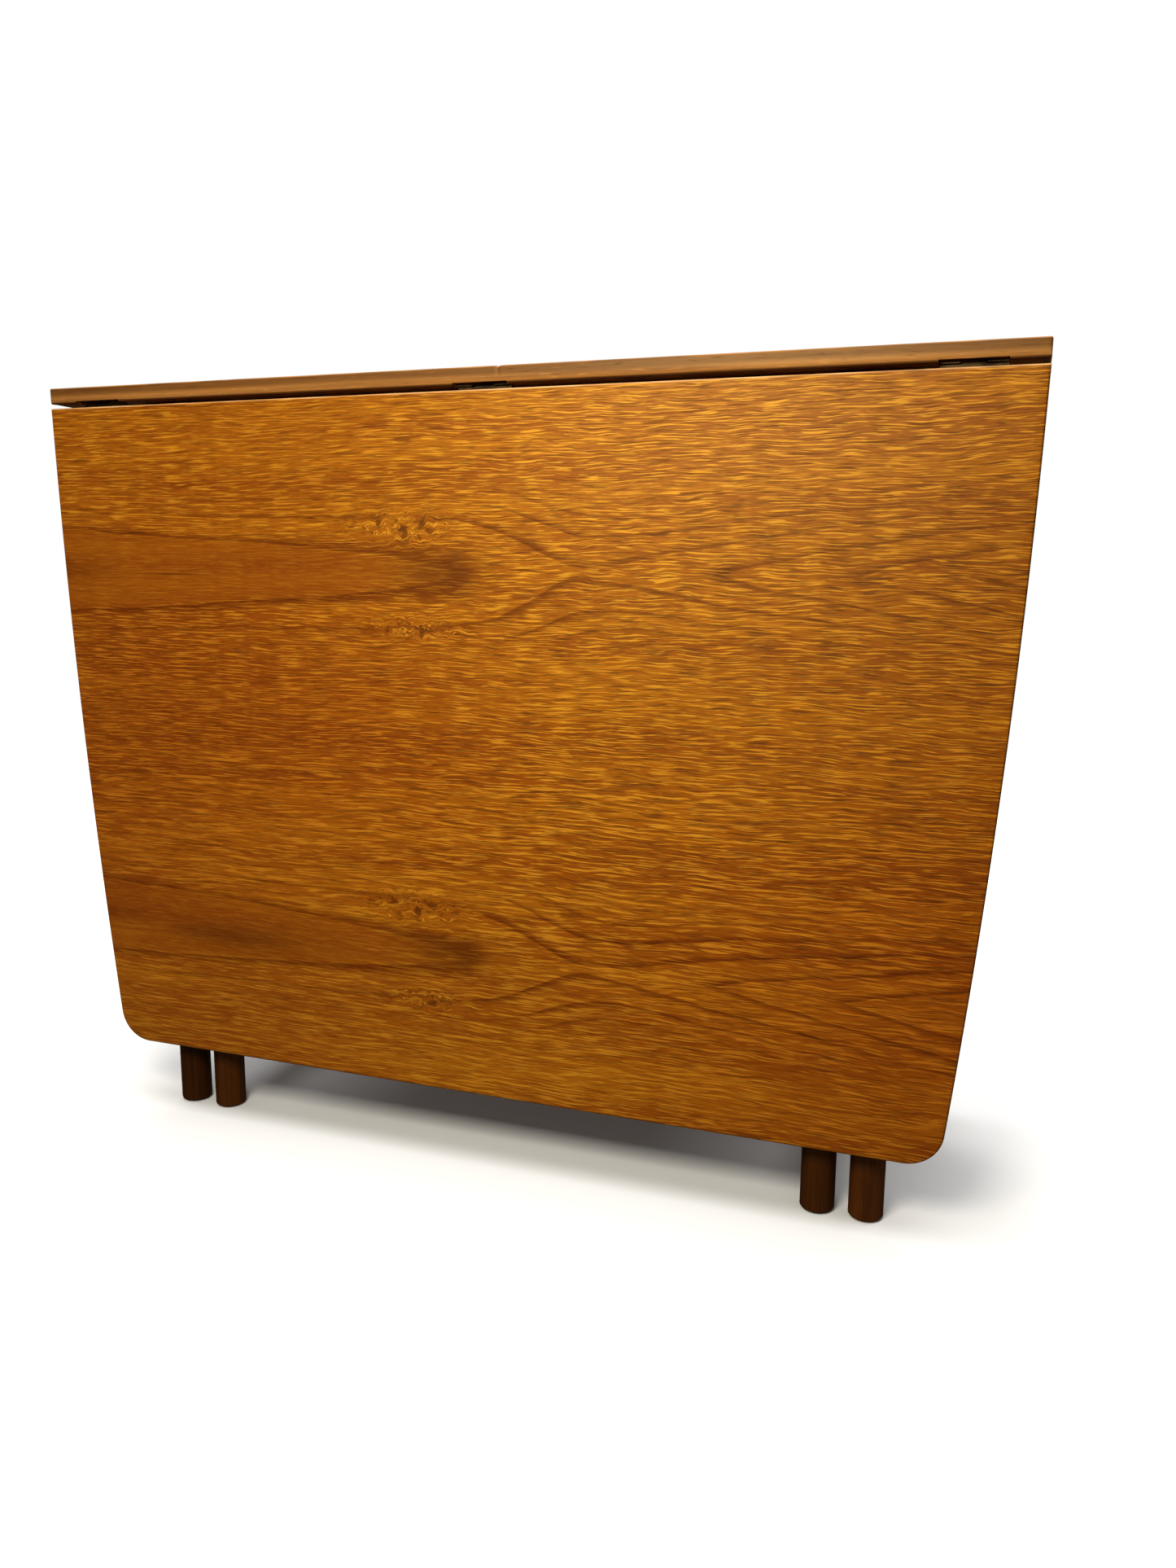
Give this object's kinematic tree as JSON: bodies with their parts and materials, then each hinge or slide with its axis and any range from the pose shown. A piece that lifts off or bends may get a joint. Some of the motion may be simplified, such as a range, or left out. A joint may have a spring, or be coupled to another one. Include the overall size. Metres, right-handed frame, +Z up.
{
  "type": "drop leaf table",
  "caption": "Drop leaf table with a narrow centre top, hanging bowed leaves on table hinges, round legs and swing-out gate legs that carry the raised leaves.",
  "frame": {"origin": "on the floor under the middle of the centre top, which is also the middle of the base", "axes": "+X along the hinge lines, -Y towards the front leaf, +Z up"},
  "size_m": [0.918, 0.28, 0.735],
  "materials": {
    "teak_veneer": "satin lacquered teak veneer",
    "teak_edging": "satin lacquered solid teak",
    "leg_wood": "dark stained, satin lacquer",
    "rail_wood": "stained, satin lacquer",
    "beech": "bare beech",
    "brass": "dull brass",
    "steel": "zinc plated steel",
    "glide_plastic": "matte nylon"
  },
  "bodies": {
    "frame": {"top_panel": "teak_veneer", "top_front_edging": "teak_edging", "top_rear_edging": "teak_edging", "top_left_edging": "teak_edging", "top_right_edging": "teak_edging", "leg_front_left": "leg_wood", "leg_front_right": "leg_wood", "leg_rear_left": "leg_wood", "leg_rear_right": "leg_wood", "upper_end_rail_left": "rail_wood", "upper_end_rail_right": "rail_wood", "lower_end_rail_left": "rail_wood", "lower_end_rail_right": "rail_wood", "upper_long_rail_front": "rail_wood", "upper_long_rail_rear": "rail_wood", "lower_long_rail_front": "rail_wood", "lower_long_rail_rear": "rail_wood", "gate_bushes": "brass", "gate_bearing_blocks": "rail_wood", "gate_neck_straps": "steel", "strap_screws": "steel", "front_hinge_top_plates": "brass", "front_hinge_pins": "steel", "rear_hinge_top_plates": "brass", "rear_hinge_pins": "steel", "hinge_top_screws": "brass", "top_brackets": "steel", "bracket_screws": "steel", "frame_dowels": "beech", "leg_glides": "glide_plastic"},
    "front_leaf": {"front_leaf_panel": "teak_veneer", "front_leaf_hinge_edging": "teak_edging", "front_leaf_outer_edging": "teak_edging", "front_leaf_left_edging": "teak_edging", "front_leaf_right_edging": "teak_edging", "front_leaf_stop": "rail_wood", "front_hinge_leaf_plates": "brass", "front_leaf_hinge_screws": "brass"},
    "rear_leaf": {"rear_leaf_panel": "teak_veneer", "rear_leaf_hinge_edging": "teak_edging", "rear_leaf_outer_edging": "teak_edging", "rear_leaf_left_edging": "teak_edging", "rear_leaf_right_edging": "teak_edging", "rear_leaf_stop": "rail_wood", "rear_hinge_leaf_plates": "brass", "rear_leaf_hinge_screws": "brass"},
    "front_gate": {"front_gate_hinge_leg": "leg_wood", "front_gate_swing_leg": "leg_wood", "front_gate_top_rail": "rail_wood", "front_gate_bottom_rail": "rail_wood", "front_gate_pivot_pin": "steel", "front_gate_dowels": "beech", "front_gate_glides": "glide_plastic"},
    "rear_gate": {"rear_gate_hinge_leg": "leg_wood", "rear_gate_swing_leg": "leg_wood", "rear_gate_top_rail": "rail_wood", "rear_gate_bottom_rail": "rail_wood", "rear_gate_pivot_pin": "steel", "rear_gate_dowels": "beech", "rear_gate_glides": "glide_plastic"}
  },
  "joints": [
    {"name": "front_leaf_hinge", "type": "hinge", "parent": "frame", "child": "front_leaf", "pos_m": [0, -0.1309, 0.7259], "axis": [-1, 0, 0], "range_deg": [0, 90]},
    {"name": "rear_leaf_hinge", "type": "hinge", "parent": "frame", "child": "rear_leaf", "pos_m": [0, 0.1309, 0.7259], "axis": [1, 0, 0], "range_deg": [0, 90]},
    {"name": "front_gate_hinge", "type": "hinge", "parent": "frame", "child": "front_gate", "pos_m": [-0.312, -0.105, 0], "axis": [0, 0, -1], "range_deg": [0, 0.4]},
    {"name": "rear_gate_hinge", "type": "hinge", "parent": "frame", "child": "rear_gate", "pos_m": [0.312, 0.105, 0], "axis": [0, 0, -1], "range_deg": [0, 0.4]}
  ]
}
